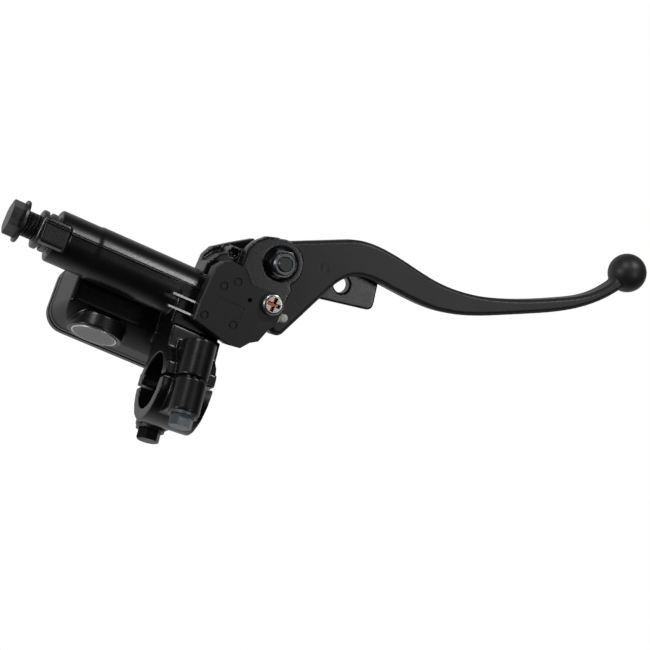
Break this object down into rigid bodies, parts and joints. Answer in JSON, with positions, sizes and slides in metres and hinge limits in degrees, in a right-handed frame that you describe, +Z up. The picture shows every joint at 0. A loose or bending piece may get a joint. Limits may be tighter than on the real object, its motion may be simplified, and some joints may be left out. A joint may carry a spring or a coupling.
{
  "type": "brake master cylinder",
  "caption": "Motorcycle front brake master cylinder with reservoir, handlebar clamp, hinged lever, brake light switch and hose bolt, left-hand side.",
  "frame": {"origin": "centre of the handlebar clamp bore, on the handlebar's axis", "axes": "+X along the cylinder bore from the hose end to the lever's ball end; +Y from the cylinder towards the handlebar and the rider; +Z up, square to the reservoir cover. The lever's plane is tilted 17 degrees about X, and the handlebar's axis leans 4 degrees from X in the XY plane."},
  "size_m": [0.2522, 0.1412, 0.0659],
  "materials": {
    "cast_black": "gloss black paint over cast aluminium, softly rounded",
    "cover_black": "gloss black paint, smooth",
    "lever_black": "satin black paint over aluminium",
    "plate_plastic": "moulded, pale, matt",
    "rubber": "matt black",
    "steel": "plain bright spring steel",
    "zinc_bright": "bright zinc plate",
    "zinc_grey": "bluish grey zinc plate, satin",
    "zinc_dark": "dark zinc plate with bright worn edges",
    "nickel": "bright nickel with a warm tint",
    "sealing_alloy": "soft bright metal, turned",
    "piston_alloy": "turned and anodised",
    "brass": "machined",
    "terminal_tin": "tinned, bright",
    "lens": "moulded clear, smoky grey from the dark chamber behind",
    "ring_white": "bright turned ring",
    "switch_black": "moulded black, faintly pebbled",
    "switch_white": "moulded, pale"
  },
  "bodies": {
    "housing": {"body_casting": "cast_black", "clamp_holder": "cast_black", "reservoir_cover": "cover_black", "diaphragm_plate": "plate_plastic", "diaphragm": "rubber", "port_baffle": "steel", "cover_screws": "zinc_bright", "sight_glass_seal": "rubber", "sight_glass_lens": "lens", "sight_glass_ring": "ring_white", "clamp_washers": "zinc_grey", "clamp_bolts": "zinc_grey", "sealing_washers": "sealing_alloy", "banjo_bolt": "zinc_dark", "return_spring": "steel", "circlip": "steel", "dust_boot": "rubber", "pivot_bolt": "zinc_grey", "pivot_nut": "zinc_dark", "switch_case": "switch_black", "switch_cover": "switch_black", "switch_terminals": "terminal_tin", "switch_plunger_spring": "steel", "switch_screw": "nickel"},
    "lever": {"lever": "lever_black", "lever_bush": "brass", "switch_pin": "zinc_bright"},
    "piston": {"piston": "piston_alloy", "primary_cup": "rubber", "secondary_cup": "rubber"},
    "switch_slider": {"switch_plunger": "switch_white", "switch_contact_bridge": "brass"}
  },
  "joints": [
    {"name": "lever_pivot", "type": "hinge", "parent": "housing", "child": "lever", "pos_m": [0.0188, -0.06003, -0.00719], "axis": [0, -0.2924, 0.9563], "range_deg": [0, 15], "stiffness_Nm_per_rad": 1.5, "springref_deg": -5.73},
    {"name": "piston_slide", "type": "slide", "parent": "housing", "child": "piston", "axis": [-1, 0, 0], "range_m": [0, 0.0062], "deforming": ["return_spring", "dust_boot"]},
    {"name": "switch_slide", "type": "slide", "parent": "housing", "child": "switch_slider", "axis": [-1, 0, 0], "range_m": [0, 0.0052], "deforming": ["switch_plunger_spring"]}
  ],
  "couplings": [
    {"joint": "piston_slide", "follows": "lever_pivot", "m_per_rad": 0.02355},
    {"joint": "switch_slide", "follows": "lever_pivot", "m_per_rad": 0.0198}
  ]
}
